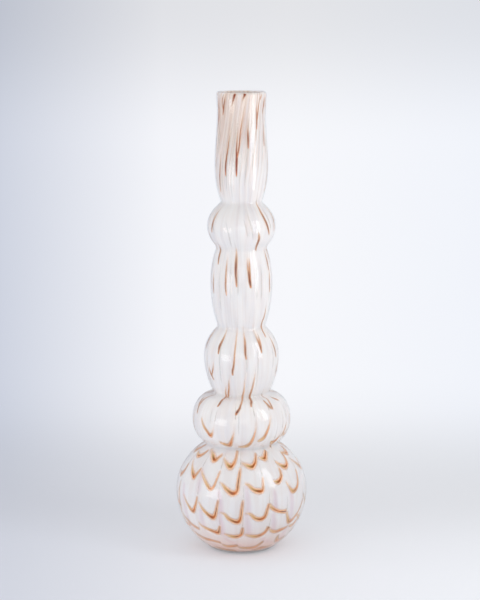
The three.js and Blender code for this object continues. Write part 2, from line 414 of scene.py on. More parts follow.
def makeAmberThread():  # amber glass thread, combed hot: dark where it is thick, peach where it thins out
    look = threadLook
    ranges = rangesIn(look)
    material = newMaterial("combedAmberThread")
    uv = addNode(material, "UVMap", {"uv_map": "UVMap"})
    split = addNode(material, "SeparateXYZ", {0: uv})
    place = addNode(material, "TexCoord", {}).outputs["Object"]
    weight, progress, spread, tone = [
        addNode(material, "Attribute", {"attribute_name": name}).outputs["Fac"] for name in lineNotes
    ]
    # Across the ribbon: the line itself with a slightly uneven edge, and a fringe as wide as the ribbon
    ripple = addNode(material, "TexNoise", {"Vector": place, "Scale": 1 / look["ripple"], "Detail": 2.0})
    shiver = addNode(material, "MapRange", {"Value": ripple, **ranges["shiver"]})
    side = addNode(material, "Math", {"operation": "MULTIPLY_ADD", 0: split.outputs[1], 1: 2.0, 2: -1.0})
    across = addNode(material, "Math", {"operation": "ABSOLUTE", 0: side})
    edge = addNode(material, "Math", {"operation": "MULTIPLY_ADD", 0: across, 1: spread, 2: shiver})
    line = addNode(material, "MapRange", {**smooth, "Value": edge, **ranges["line"]})
    fringe = addNode(material, "MapRange", {**smooth, "Value": across, **ranges["fringe"]})
    core = addNode(material, "Math", {"operation": "MULTIPLY", 0: line, 1: weight})
    fringeCover = addNode(material, "MapRange", {"Value": weight, **ranges["fringeCover"]})
    halo = addNode(material, "Math", {"operation": "MULTIPLY", 0: fringe, 1: fringeCover})
    lineCover, bodyShare, heartShare = [
        addNode(material, "MapRange", {**smooth, "Value": core, **ranges[name]})
        for name in ("lineCover", "body", "heart")
    ]
    isDrop, isNeck, isThin = [
        addNode(material, "Math", {"operation": "GREATER_THAN", 0: tone, 1: limit})
        for limit in look["toneLimits"]
    ]
    shades = {
        name: setRamp(addNode(material, "ValToRGB", {"Fac": progress}), look[name])
        for name in ("bellyBody", "bellyHeart", "dropBody", "dropHeart", "neckHeart")
    }
    shades["thin"] = setRamp(addNode(material, "ValToRGB", {"Fac": tone}), look["thin"])
    shades["fringe"] = colour(look["fringe"])
    # Fringe, body and heart follow each other as the line gets thicker
    for name, share, first, second in (
        ("body", isDrop, "bellyBody", "dropBody"),
        ("heart", isDrop, "bellyHeart", "dropHeart"),
        ("heart", isNeck, "heart", "neckHeart"),
        ("deep", heartShare, "body", "heart"),
        ("whole", bodyShare, "fringe", "deep"),
        ("whole", isThin, "whole", "thin"),
    ):
        blend = {"data_type": "RGBA", 0: share, 6: shades[first], 7: shades[second]}
        shades[name] = addNode(material, "Mix", blend).outputs[2]
    solidCover = addNode(material, "Math", {"operation": "MAXIMUM", 0: lineCover, 1: halo})
    thinCover = addNode(material, "Math", {"operation": "MULTIPLY", 0: fringe, 1: weight})
    cover = addNode(material, "Mix", {"data_type": "FLOAT", 0: isThin, 2: solidCover, 3: thinCover})
    glass = {"Roughness": look["roughness"], "IOR": look["ior"], "Specular IOR Level": look["specular"]}
    shader = addNode(material, "BsdfPrincipled", {"Base Color": shades["whole"], **glass})
    clear = addNode(material, "BsdfTransparent", {})
    mixed = addNode(material, "MixShader", {0: cover, 1: clear, 2: shader})
    addNode(material, "OutputMaterial", {"Surface": mixed})
    return material


casingLook = {
    "ior": 1.5,
    "roughness": 0.14,
    "waver": 34 * millimetre,
    "waverStrength": 0.06,
    "waverDepth": 2 * millimetre,
    # painted shade: greyer where the glass is seen through at a slant
    "edge": "#f2f0ef",
    # painted contact shadow on the foot's lowest edge
    "footShadow": "#a8958c",
    "ranges": {"slantShade": (0.8, 1, 0, 1), "ground": (0.001, 0.003, 1, 0)},
}


def makeClearCasing():  # soda-lime glass, fire-polished: no colour, reflections that grow at grazing angles
    look = casingLook
    ranges = rangesIn(look)
    material = newMaterial("firePolishedClearGlass")
    place = addNode(material, "TexCoord", {}).outputs["Object"]
    waver = addNode(material, "TexNoise", {"Vector": place, "Scale": 1 / look["waver"], "Detail": 1.0})
    bump = addNode(
        material, "Bump", {"Height": waver, "Strength": look["waverStrength"], "Distance": look["waverDepth"]}
    )
    fresnel = addNode(material, "Fresnel", {"Normal": bump, "IOR": look["ior"]})
    sides = addNode(material, "NewGeometry", {})
    front = addNode(material, "Math", {"operation": "SUBTRACT", 0: 1.0, 1: sides.outputs["Backfacing"]})
    shine = addNode(material, "Math", {"operation": "MULTIPLY", 0: fresnel, 1: front})
    polish = {"Roughness": look["roughness"], "Color": (1, 1, 1, 1)}
    gloss = addNode(material, "BsdfGlossy", {"Normal": bump, **polish})
    # Painted shade: greyer where it is seen through at a slant. Painted contact shadow: dark on the lowest
    # edge of the foot, where it meets the floor
    slant = addNode(material, "LayerWeight", {})
    slantShade = addNode(material, "MapRange", {"Value": slant.outputs["Facing"], **ranges["slantShade"]})
    split = addNode(material, "SeparateXYZ", {0: place})
    ground = addNode(material, "MapRange", {"Value": split.outputs[2], **ranges["ground"]})
    through = (1, 1, 1, 1)
    for share, tint in ((slantShade, look["edge"]), (ground, look["footShadow"])):
        blend = {"data_type": "RGBA", 0: share, 6: through, 7: colour(tint)}
        through = addNode(material, "Mix", blend).outputs[2]
    clear = addNode(material, "BsdfTransparent", {"Color": through})
    mixed = addNode(material, "MixShader", {0: shine, 1: clear, 2: gloss})
    addNode(material, "OutputMaterial", {"Surface": mixed})
    return material


# Camera: 2.2 m in front, looking a little down. The tilt is in degrees, lens and sensor in mm.
camera = {"distance": 2.2, "height": 0.675, "tilt": 9.48, "lens": 110.34, "sensor": 36, "shift": -0.0025}


def placeCamera():
    deselectAll()
    bpy.ops.object.camera_add(
        location=(0, -camera["distance"], camera["height"]),
        rotation=(math.radians(90 - camera["tilt"]), 0, 0),
    )
    eye = bpy.context.object
    eye.name = "photographCamera"
    eye.data.lens = camera["lens"]
    eye.data.sensor_width = camera["sensor"]
    eye.data.sensor_fit = "AUTO"
    eye.data.shift_x = camera["shift"]
    bpy.context.scene.camera = eye


placeCamera()
print("camera placed")


# The white glass: one closed vessel, from the middle of its foot up the outside, over the lip and
# down the bore
opalVessel = {
    "foot": 0.003,
    "floor": 0.0123,
    "footRounding": 0.003,
    "rim": 0.5561,
    "rimRise": 0.0029,
    "boreTop": 0.5530,
    "outerStep": 0.0021,
    "boreStep": 0.0055,
    "rimSteps": 10,
    "steps": 200,
}
corner = {"steps": 4, "gap": 0.0005, "tries": 12}  # how a wall turns into its foot or floor


def wallOutline(depth, low, high, step):
    outline = []
    for height in heightsUpWall(0, form["height"] - form["lipRise"], step):
        radius, level = wallPoint(height, depth)
        if low < level < high:
            outline.append((radius, level))
    return outline


def levelPoint(level, depth):  # the point of a layer at a given level
    height = level
    for attempt in range(corner["tries"]):
        height += level - wallPoint(height, depth)[1]
    return wallPoint(height, depth)[0], level


def floorCorner(level, rounding, depth):
    side = levelPoint(level + rounding, depth)
    edge = (levelPoint(level, depth)[0] - rounding, level)
    outermost = levelPoint(level, depth)
    points = []
    for step in range(corner["steps"] + 1):
        share = step / corner["steps"]
        first = [lerp(edge[axis], outermost[axis], share) for axis in (0, 1)]
        second = [lerp(outermost[axis], side[axis], share) for axis in (0, 1)]
        points.append(tuple(lerp(first[axis], second[axis], share) for axis in (0, 1)))
    return points


# Mauve stains in the belly's white glass, which the hook drew downward under the thread's cusps.
# Each is a list of given places, with the angle in degrees from the front, the height in millimetres and the
# width there in millimetres.
stains = {
    "reach": 3.5,  # how far the stain fades out beyond its width, in millimetres
    "strength": 0.62,
    "turns": (0, 135, -112.5),  # the front's stains repeat round the back
    "nearAngle": 25,
    "nearHeight": 15,
    "front": [
        [(50, 34, 3), (50.7, 28, 6), (52, 20, 7)],
        [(4, 61, 2), (5, 56, 5), (6, 47, 8), (6.8, 36, 9)],
        [(-19.5, 60, 2), (-18.6, 47, 6), (-19, 34, 7)],
        [(29, 58, 2), (31.4, 47, 6), (33, 37, 6)],
        [(-39, 62, 2), (-39, 53, 5), (-39, 43, 5)],
        [(-20.5, 88, 1), (-18.8, 77, 5), (-18, 65, 6)],
        [(4.5, 93, 1), (5.4, 79, 5), (5.4, 66, 7)],
        [(49, 86, 3), (50.6, 68, 7), (51.7, 46, 8)],
        [(30.6, 86, 1), (31, 75, 4), (31.5, 64, 6)],
        [(-44, 107, 3), (-42, 98, 6), (-41.7, 86, 6)],
        [(-17, 25, 3), (-9, 20, 5), (-2, 17, 4)],
        [(24, 24, 3), (31, 20, 5), (38, 18, 4)],
    ],
}


def stainStrength(angle, height):  # both in degrees and millimetres, as in the list
    strongest = 0
    for turn in stains["turns"]:
        for points in stains["front"]:
            middle = points[1][0]
            away = (angle - turn - middle + 180) % 360 - 180
            low, high = points[-1][1] - stains["nearHeight"], points[0][1] + stains["nearHeight"]
            if abs(away) > stains["nearAngle"] or not low < height < high:
                continue
            radius = outerRadius(height * millimetre)
            for start, end in zip(points, points[1:]):
                share = min(max((height - start[1]) / (end[1] - start[1]), 0), 1)
                aside = math.radians(away + middle - lerp(start[0], end[0], share)) * radius
                above = (height - lerp(start[1], end[1], share)) * millimetre
                reach = (lerp(start[2], end[2], share) / 2 + stains["reach"]) * millimetre
                strongest = max(strongest, 1 - smoothstep(math.hypot(aside, above), 0, reach))
    return strongest * stains["strength"]


def stainBelly(vessel):
    attribute = vessel.data.attributes.new("stain", "FLOAT", "POINT")
    for vertex in vessel.data.vertices:
        x, y, z = vertex.co
        if z < swellings[0]["top"] and math.hypot(x, y) > outerRadius(z) - layers["bore"] / 2:
            angle = math.degrees(math.atan2(x, -y))
            attribute.data[vertex.index].value = stainStrength(angle, z / millimetre)


def blowOpalVessel():
    sizes = opalVessel
    rounding = sizes["footRounding"]
    outer = [(0, sizes["foot"])] + floorCorner(sizes["foot"], rounding, layers["opal"])
    gap = corner["gap"]
    low, high = sizes["foot"] + rounding + gap, sizes["rim"] - gap
    outer += wallOutline(layers["opal"], low, high, sizes["outerStep"])
    outer.append(levelPoint(sizes["rim"], layers["opal"]))
    low, high = sizes["floor"] + rounding + gap, sizes["boreTop"] - gap
    inner = floorCorner(sizes["floor"], rounding, layers["bore"])
    inner += wallOutline(layers["bore"], low, high, sizes["boreStep"])
    inner.append(levelPoint(sizes["boreTop"], layers["bore"]))
    lipInner = (inner[-1][0] + layers["casing"], sizes["rim"])
    rim = roundOver(outer[-1], lipInner, sizes["rimRise"], sizes["rimSteps"])
    outline = outer + rim + [lipInner, (lipInner[0], sizes["boreTop"])] + inner[::-1] + [(0, sizes["floor"])]
    vessel = spinOutline("opalVessel", outline, sizes["steps"])
    finishMesh(vessel, form["sharpAngle"])
    stainBelly(vessel)
    vessel.data.materials.append(makeOpalGlass())
    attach(vessel, "root")
    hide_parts("opal_liner")
    print("opal vessel blown")


blowOpalVessel()


# The clear glass over it: foot with its ground pontil hollow, side, lip and folded edge
clearCasing = {
    "pontilRadius": 0.022,
    "pontilDepth": 0.0015,
    "pontilSteps": 5,
    "footRounding": 0.003,
    "footThickness": 0.0024,
    "mouthEdge": 0.5530,
    "foldShare": 0.7,
    "innerRiseShare": 0.86,
    "lipSteps": 16,
    "step": 0.0026,
    "innerStep": 0.0035,
    "steps": 192,
}


def caseInClearGlass():
    sizes = clearCasing
    top = form["height"] - form["lipRise"]
    outline = []
    for step in range(sizes["pontilSteps"]):
        share = step / sizes["pontilSteps"]
        outline.append((sizes["pontilRadius"] * share, sizes["pontilDepth"] * (1 - share**2)))
    outline.append((sizes["pontilRadius"], 0))
    outline += floorCorner(0, sizes["footRounding"], 0)
    gap = corner["gap"]
    outline += wallOutline(0, sizes["footRounding"] + gap, top - gap, sizes["step"])
    outline.append(levelPoint(top, 0))
    bore = levelPoint(sizes["mouthEdge"], layers["bore"])
    outline += roundOver(outline[-1], (bore[0], top), form["lipRise"], sizes["lipSteps"])
    fold = bore[0] + layers["casing"] * sizes["foldShare"]
    outline += [(bore[0], top), bore, (fold, sizes["mouthEdge"])]
    outerTop = levelPoint(top, layers["casing"])
    innerLip = roundOver(outerTop, (fold, top), form["lipRise"] * sizes["innerRiseShare"], sizes["lipSteps"])
    outline += [(fold, top)] + innerLip[::-1] + [outerTop]
    low = sizes["footThickness"]
    inner = floorCorner(low, sizes["footRounding"], layers["casing"])
    lowest = low + sizes["footRounding"] + gap
    inner += wallOutline(layers["casing"], lowest, top - gap, sizes["innerStep"])
    outline += inner[::-1] + [(0, low)]
    casing = spinOutline("clearCasing", outline, sizes["steps"])
    finishMesh(casing, form["sharpAngle"])
    casing.data.materials.append(makeClearCasing())
    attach(casing, "root")
    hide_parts("clear_casing")
    print("clear casing gathered over it")


caseInClearGlass()


# The combed thread. Each stroke is a list of given places: the angle round the vase in degrees from the
# front, growing to the right, the height in millimetres and the width of the line there in millimetres. The
# turns are listed from the foot up.
frontStrokes = {
    "thread_belly_1": [
        [(-70, 30, 1), (-60, 24, 1.5), (-48, 20, 1.9), (-39, 20, 1.3), (-30, 19, 1.3), (-24, 18, 1.1)],
        [(-25, 17, 1.1), (-20, 13.5, 1.5), (-11, 14, 1.5), (-4, 16, 1.4)],
        [(-4, 15, 1.1), (-1, 12, 1.3), (8, 11, 1.6), (17, 12, 1.6), (22, 16, 1.4), (26, 22, 1)],
        [(43, 28, 1), (43.5, 23, 1.6), (47, 17, 2.3), (54, 17, 1.4), (60, 21, 1)],
        [(-44, 9, 0.8), (-34, 7, 1.2), (-26, 6, 1.1), (-17, 6, 0.9), (-8, 5, 0.8)],
        [(14, 6, 0.7), (21, 7, 0.9), (28, 9, 1.9), (37, 8, 1.3), (46, 10, 0.8)],
    ],
    "thread_belly_2": [
        [(-78, 52, 1), (-70, 45, 1.3), (-59, 38, 1.5), (-52, 35, 1.5), (-46, 34, 1.1)],
        [
            (-45, 46, 0.9), (-41, 40, 1.4), (-34, 37, 1.8), (-28, 35, 2.4),
            (-24, 34, 3.2), (-22, 38, 1.6), (-20, 46, 0.7),
        ],
        [(-19, 34, 1.1), (-12, 31, 1.9), (-6, 30, 2.6), (-1, 32.5, 1.9), (0.5, 37, 1.8), (1, 45, 0.8)],
        [(2, 34, 1.5), (9, 31, 1.9), (16, 30, 2.4), (22, 33, 1.9), (25, 38, 1.8), (26.5, 43, 2.6)],
        [(28, 40, 1.5), (30, 36, 1.5), (36, 33, 1.8), (42, 34, 2.1), (48, 35, 1.2), (52, 37, 0.7)],
        [(52, 38, 1), (58, 35, 1.6), (64, 36, 2), (68, 42, 1.2), (70, 50, 0.8)],
    ],
    "thread_belly_3": [
        [(-72, 92, 0.6), (-73, 80, 0.9), (-74, 68, 1), (-74, 58, 1), (-72, 50, 0.9)],
        [
            (-64, 78, 0.9), (-58, 68, 1.3), (-52, 60, 2), (-48, 58, 2.8),
            (-45, 65, 1.5), (-43, 72, 1), (-42, 80, 0.6),
        ],
        [
            (-41, 74, 0.9), (-38, 67, 1.4), (-33, 60, 2), (-27, 55, 3.7),
            (-24, 58, 2.5), (-22, 68, 1.3), (-20.5, 80, 0.7),
        ],
        [
            (-21, 63, 0.9), (-15, 61, 1.4), (-11, 55, 2.2), (-4, 51, 3.7),
            (-1, 56, 2.2), (0, 65, 1.5), (1.5, 82, 0.8),
        ],
        [
            (2, 62, 0.9), (7, 62, 1.4), (12, 56, 2.2), (17, 54, 3),
            (21, 57, 2.4), (23, 66, 1.5), (25, 74, 1.7),
        ],
        [(25, 74, 1.7), (27, 68, 1.9), (32, 63, 1.7), (38, 60, 1.8), (44, 59, 2.5)],
        [(44, 60, 2), (46, 52, 1.7), (51, 43, 2.8), (58, 46, 1.3), (66, 56, 1), (71, 68, 0.7)],
    ],
    "thread_belly_4": [
        [
            (-69, 118, 0.6), (-60, 108, 1.3), (-54, 102, 2.8),
            (-51, 99, 2.5), (-49, 103, 1.3), (-45, 112, 0.5),
        ],
        [
            (-46, 110, 1.2), (-39, 102, 1.5), (-32, 93, 1.7), (-29, 90, 1.9),
            (-26, 93, 1.1), (-24, 102, 0.7), (-22, 113, 0.5),
        ],
        [
            (-22, 99, 0.6), (-18, 97, 1.1), (-13, 91, 2.4), (-8, 87, 4),
            (-4, 90, 2.4), (-3, 100, 1.7), (-1, 118, 0.8),
        ],
        [
            (2, 98, 1.1), (6, 97, 1.5), (11, 91, 2.4), (16, 89, 3.6),
            (19, 90, 1.9), (20, 96, 0.9), (21, 106, 0.6),
        ],
        [(31, 101, 0.8), (32.5, 98, 1.3), (35.5, 97, 3), (39, 99, 2.2), (42, 104, 1.5), (42.5, 113, 0.6)],
        [
            (44, 98, 0.9), (48, 88, 1.5), (52, 82, 2.6), (58, 84, 1.7),
            (62, 89, 1.3), (65, 97, 0.9), (68, 106, 0.6),
        ],
    ],
    "thread_belly_5": [
        [(-75, 125, 0.7), (-68, 122, 1.2), (-62, 121, 1.8), (-57, 124, 1.3), (-54, 129, 0.8)],
        [
            (-54, 131, 0.9), (-43, 127, 1.3), (-37, 123, 2.7),
            (-33, 121, 2.4), (-30, 124, 1.2), (-26, 128, 0.8),
        ],
        [
            (-24, 125.5, 0.9), (-18, 120, 1.5), (-12.5, 116, 3.1),
            (-9, 119, 1.9), (-7, 125, 1.1), (-6, 134, 0.8),
        ],
        [(-1, 121, 1.1), (5, 118, 1.7), (11, 116, 2.8), (15, 119, 2.2), (18, 124, 1.1), (21, 130, 0.7)],
        [(21, 125, 0.8), (26, 123.5, 1.4), (30, 123.5, 2.7), (34, 127, 1.6), (39, 131, 0.8)],
        [(41, 120, 0.9), (45, 115, 1.5), (51, 111, 2.9), (57, 113, 1.5), (61, 119, 0.9), (63, 126, 0.6)],
    ],
    "thread_lower_bulb_1": [
        [
            (-56, 172, 0.8), (-51, 161, 1.4), (-45, 154, 1.6),
            (-41, 149, 2.3), (-36, 155, 1.1), (-33, 168, 0.7),
        ],
        [
            (-30, 144, 0.9), (-26, 140, 1.4), (-21, 138.5, 1.9), (-16, 138.5, 2.3),
            (-12, 146, 1.4), (-9, 157, 0.8), (-7, 173, 0.6),
        ],
        [
            (-6, 136.5, 1.2), (1, 136, 1.6), (8, 138, 2), (12, 143, 1.3),
            (15, 152, 0.9), (17, 164, 0.6), (16, 176, 0.4),
        ],
        [
            (19, 144, 1.6), (24, 145, 1.9), (28, 148, 1.9), (30, 152, 1.4),
            (33, 160, 0.9), (36, 171, 0.6), (37, 181, 0.4),
        ],
        [(40, 142, 0.9), (46, 138, 1.6), (50, 139, 1.8), (54, 145, 1.2), (57, 155, 0.7)],
        [(62, 150, 0.8), (67, 145, 1.6), (72, 147, 1.3), (76, 156, 0.7)],
        [(55, 131, 0.7), (48, 138, 1.6), (46, 142, 1.4)],
        [(57, 143, 0.5), (64, 153, 0.5), (66, 166, 0.4)],
    ],
    "thread_lower_bulb_2": [
        [(-67, 172, 0.8), (-69, 177, 2.2), (-70, 182, 1.3), (-70, 188, 0.9), (-66, 194, 0.7)],
        [
            (-34, 185, 0.7), (-32.5, 189, 2.4), (-33, 193, 2.2),
            (-33, 198, 1.2), (-29, 206, 1), (-27, 214, 0.7),
        ],
        [(-29, 194, 0.8), (-27, 197, 1), (-23, 206, 1.2), (-21, 216, 0.7), (-19, 224, 0.4)],
        [
            (-7, 177, 1), (-6, 180.5, 3), (-3, 184.5, 2.4), (-1, 189, 1.3), (1, 193, 1.2),
            (4, 201, 1.5), (5, 210, 1.3), (6, 225, 0.7), (7, 240, 0.4),
        ],
        [
            (13, 186, 0.6), (14, 190, 2), (16, 193, 2), (19, 203, 1.6),
            (21, 216, 1.2), (22, 227, 0.9), (22, 237, 0.6),
        ],
        [(36, 192, 0.7), (38, 188, 1.7), (41, 183.5, 2.8), (43.5, 181.5, 1.4)],
        [(43.5, 181, 0.9), (43.5, 184.5, 1.4), (44, 189, 1.1), (46, 194, 0.8), (45, 203, 0.7)],
        [(58, 193, 0.7), (63, 190, 1.4), (68, 188, 0.9)],
    ],
    "thread_middle_bulb_1": [
        [
            (-39, 247, 0.6), (-39, 252, 2.2), (-39, 257, 3.4), (-37, 263, 2.5),
            (-36, 268, 1.6), (-37, 276, 1.3), (-38, 290, 1),
        ],
        [(-54, 213, 0.6), (-57, 218, 1.9), (-60, 222, 3), (-62, 227, 1.5), (-63, 234, 0.8)],
        [(-57, 219, 1), (-53, 225, 1.5), (-50, 231, 1), (-47, 244, 0.6)],
        [
            (-14, 222, 0.7), (-14, 228, 2.2), (-12, 236, 1.7), (-11, 247, 1.1),
            (-10, 262, 1.1), (-10, 277, 0.9), (-10, 292, 0.7),
        ],
        [(7.5, 242, 0.6), (6, 250, 1.9), (6, 257, 2.2), (6, 265, 1.6), (5, 273, 1.1), (4, 290, 0.8)],
        [(33.5, 249, 0.7), (33, 254, 2), (32, 260, 1.9), (31, 265, 1.5), (30, 272, 1), (29, 290, 0.7)],
        [(34, 254, 1), (34.5, 260, 1.1), (35, 267, 1), (36, 274, 0.8)],
        [(52, 266, 0.6), (55, 272, 1.1), (57, 276, 1.1), (55, 283, 0.9), (54, 292, 0.7)],
        [(68, 240, 0.6), (67, 247, 1.9), (66, 254, 1.7), (65, 264, 0.9), (66, 277, 0.6)],
    ],
    "thread_barrel_1": [
        [(-54, 354, 0.7), (-56, 362, 2.1), (-56, 369, 2.6), (-57, 375, 1.7), (-55, 383, 1)],
        [
            (-29, 317, 0.6), (-31, 328, 1.7), (-31, 338, 1.9),
            (-31, 348, 1.5), (-31, 360, 1.2), (-32, 370, 0.8),
        ],
        [
            (-9, 328, 0.8), (-10, 338, 2.2), (-11, 348, 3.2), (-11, 357, 3.4),
            (-11, 366, 2.1), (-12, 375, 1.3), (-13, 386, 1),
        ],
        [(18, 327, 1.2), (16, 335, 3.4), (14.5, 343, 3), (12.5, 352, 1.4), (12, 361, 1.1), (13, 372, 0.8)],
        [(16.5, 338, 1.3), (16, 348, 1.3), (16, 358, 1.1), (16.5, 368, 0.8)],
        [(56, 276, 1), (54, 283, 1.4), (58, 290, 1.2), (58, 300, 0.9), (57, 312, 0.6)],
        [(-66, 318, 0.6), (-67, 327, 1.8), (-67, 337, 1.6), (-66, 350, 0.8)],
        [(66, 346, 0.6), (65, 355, 1.8), (64, 364, 1.5), (64, 376, 0.8)],
    ],
    "thread_bead_1": [
        [
            (57, 389, 0.6), (52, 397, 2.2), (48, 405, 2.9), (45, 412, 2.6),
            (43.5, 419, 1.9), (46, 426, 1.3), (45, 434, 1), (43, 445, 0.8),
        ],
        [(35, 371, 0.8), (33, 379, 2.3), (33, 386, 2.7), (30.5, 393, 1.6), (28, 401, 0.8)],
        [(-62, 392, 0.6), (-60, 400, 2), (-58, 408, 1.8), (-56, 418, 1), (-56, 430, 0.7)],
    ],
    "thread_neck_1": [
        [
            (-11, 459, 0.7), (-11, 470, 3), (-10.5, 482, 3.8), (-11, 491, 2.5),
            (-10, 504, 1.7), (-9, 515, 1.2), (-6, 530, 0.8),
        ],
        [
            (-10, 482, 1.5), (-6, 493, 2), (-4, 504, 1.7), (-2, 515, 1.5),
            (2, 528, 1.1), (6, 540, 0.9), (13, 552, 0.8),
        ],
        [(15, 493, 0.7), (15, 501, 2.2), (15, 511, 2.3), (15.5, 519, 1), (17, 532, 0.7)],
        [(38, 515, 0.7), (39, 523, 1.9), (39, 531, 1.9), (39, 539, 1), (40, 548, 0.8), (42, 557, 0.6)],
        [(40, 526, 0.9), (43, 535, 1.3), (45, 546, 0.9), (48, 556, 0.6)],
        [
            (-37, 459, 0.8), (-37, 471, 2.3), (-35, 482, 2.1), (-32, 492, 1.7),
            (-30, 502, 1.3), (-26, 514, 0.9), (-20, 528, 0.7),
        ],
        [
            (-62, 439, 0.6), (-59, 450, 1.3), (-56, 462, 1.7),
            (-54, 473, 1.2), (-52, 488, 0.9), (-48, 503, 0.7),
        ],
        [(62, 495, 0.7), (63, 506, 1.6), (64, 515, 1.1), (66, 527, 0.8)],
    ],
    "thread_neck_2": [
        [(8, 558.8, 3.4), (7.5, 557.5, 3.4), (6, 555, 2.6), (3, 551, 1.2), (1, 546, 0.6)],
        [(-15, 558.8, 2.4), (-16.5, 556, 3), (-19.5, 551, 2.2), (-23, 544, 1), (-25, 538, 0.6)],
        [(-51, 532, 0.7), (-48, 540, 2.1), (-45, 547, 1.9), (-41, 554, 1), (-38, 558, 0.8)],
        [(-50, 538, 0.8), (-52, 547, 0.9), (-48, 555, 1.1), (-46, 558, 1.2)],
        [(-72, 535, 0.8), (-70, 543, 1.7), (-66, 552, 1), (-63, 558, 0.8)],
        [(48, 550, 0.6), (52, 554, 1), (56, 558, 0.8)],
        [(68, 541, 0.7), (70, 548, 1.5), (73, 555, 0.9)],
    ],
}
combing = {
    "sampleStep": 1.3,  # from one row of a ribbon's points to the next, in millimetres
    "fewestRows": 8,
    "leastLine": 0.3,
    "slopeShare": 0.01,
    "startReach": 0.45,
    "thickness": 0.0006,  # the thread is pressed into the white glass
    "faintSink": 0.00006,  # faint lines lie under the strong ones
    "layerStep": 0.000011,  # no two lines beside each other lie in the same layer
    "layerCount": 5,
    "bellyTop": 131.8,
    "top": 559.2,
    "lipFrom": 556,
    "backTurns": [(135, -68, 68), (-112.5, -45, 45)],  # the front repeats round the back, unevenly
    "backTop": 558.5,
    "heightPlay": 2.6,
    "anglePlay": 2.2,
    "stretches": (0.85, 1.15),
}

# Faint lines that the hook drew out of each turn: lowest and highest place in millimetres, how many
# there are round the vase, and the range of their widths
streakBands = {
    "thread_lower_bulb_1": {"low": 150, "high": 190, "count": 7, "widths": (0.4, 0.8)},
    "thread_middle_bulb_1": {"low": 196, "high": 282, "count": 11, "widths": (0.6, 1.6)},
    "thread_barrel_1": {"low": 276, "high": 378, "count": 15, "widths": (0.6, 1.8)},
    "thread_bead_1": {"low": 374, "high": 428, "count": 12, "widths": (0.6, 1.8)},
    "thread_neck_1": {"low": 426, "high": 556, "count": 26, "widths": (0.5, 1.4)},
}
streakPlay = {"angle": 0.4, "low": 0.45, "high": 0.35, "parts": 6}
# How far the faint line above each hook goes on, in millimetres
tails = {"thread_belly_2": 16, "thread_belly_3": 22, "thread_belly_4": 18, "thread_lower_bulb_1": 22}
tailPlay = {"reaches": (0.7, 1.2), "lean": 1.5, "overlap": 0.5, "width": 0.9, "taper": 0.1, "parts": 4}
# How far the drawn lines turn: to the left over the bead and to the right up the neck, in degrees,
# and in degrees for each millimetre
lean = {
    "bead": -10,
    "beadHeights": (383, 425),
    "neck": 0.16,
    "neckFrom": 455,
    "steeper": 0.0025,
    "steeperFrom": 480,
}


def curveThrough(points, share):  # a smooth curve through all points, with share from 0 to 1
    place = share * (len(points) - 1)
    index = min(int(place), len(points) - 2)
    part = place - index
    before = points[max(index - 1, 0)]
    start = points[index]
    end = points[index + 1]
    after = points[min(index + 2, len(points) - 1)]
    values = []
    for a, b, c, d in zip(before, start, end, after):
        bend = (2 * a - 5 * b + 4 * c - d) * part**2 + (3 * b - a - 3 * c + d) * part**3
        values.append(0.5 * (2 * b + (c - a) * part + bend))
    return values


def strokeLength(points):
    length = 0
    for first, second in zip(points, points[1:]):
        radius = outerRadius(first[1] * millimetre) / millimetre
        length += math.hypot(math.radians(second[0] - first[0]) * radius, second[1] - first[1])
    return length


def layStroke(points, depth, kind, ceiling):  # one line of thread as a ribbon that follows the glass
    count = max(round(strokeLength(points) / combing["sampleStep"]), combing["fewestRows"])
    deselectAll()
    bpy.ops.mesh.primitive_grid_add(x_subdivisions=count, y_subdivisions=kind["sides"], size=1, calc_uvs=True)
    ribbon = bpy.context.object
    mesh = ribbon.data
    for name in lineNotes:
        mesh.attributes.new(name, "FLOAT", "POINT")
    weight, progress, spread, tone = [mesh.attributes[name] for name in lineNotes]
    for vertex in mesh.vertices:
        along = min(max(vertex.co.x + 0.5, 0), 1)
        side = vertex.co.y * 2
        angle, height, width = curveThrough(points, along)
        ahead = curveThrough(points, min(along + combing["slopeShare"], 1))
        behind = curveThrough(points, max(along - combing["slopeShare"], 0))
        radius = outerRadius(height * millimetre) / millimetre
        run = math.radians(ahead[0] - behind[0]) * radius
        climb = ahead[1] - behind[1]
        size = math.hypot(run, climb) or 1
        line = max(width * kind["widthShare"], combing["leastLine"])
        half = line / 2 + kind["halo"] + kind["haloByWidth"] * width
        shiftAround = -climb / size * half * side
        shiftUp = run / size * half * side
        level = min(height + shiftUp, ceiling)
        sunk = depth + layers["threadSink"] * side**2
        vertex.co = onGlass(angle + math.degrees(shiftAround / radius), level * millimetre, sunk)
        ends = smoothstep(along, 0, kind["fadeIn"]) * smoothstep(1 - along, 0, kind["fadeOut"])
        ends *= lerp(kind["startShare"], 1, smoothstep(along, 0, combing["startReach"]))
        weight.data[vertex.index].value = (kind["weight"] + width * kind["weightByWidth"]) * ends
        progress.data[vertex.index].value = along
        spread.data[vertex.index].value = 2 * half / line
        tone.data[vertex.index].value = kind["tone"]
    return ribbon


# How each kind of line is laid: the stain beside it, how strong it is, how its ends fade and its tone
threadKind = {
    "sides": 10,
    "widthShare": 0.8,
    "halo": 2.0,
    "haloByWidth": 0.7,
    "weight": 0.34,
    "weightByWidth": 0.3,
    "fadeIn": 0.1,
    "startShare": 0.4,
    "fadeOut": 0.08,
    "tone": 0,
}
dropKind = {
    **threadKind,
    "widthShare": 0.54,
    "halo": 1.1,
    "haloByWidth": 0.28,
    "weight": 0.8,
    "weightByWidth": 0.35,
    "startShare": 1,
    "fadeOut": 0.75,
    "tone": 0.2,
}
neckKind = {**dropKind, "halo": 0.7, "haloByWidth": 0.2, "tone": 0.3}
lipKind = {**neckKind, "widthShare": 0.7, "fadeIn": 0.02}
tailKind = {
    **threadKind,
    "sides": 3,
    "widthShare": 1,
    "halo": 0.5,
    "haloByWidth": 0,
    "weight": 0.3,
    "weightByWidth": 0.1,
    "startShare": 1,
    "fadeOut": 0.8,
    "tone": 0.45,
}
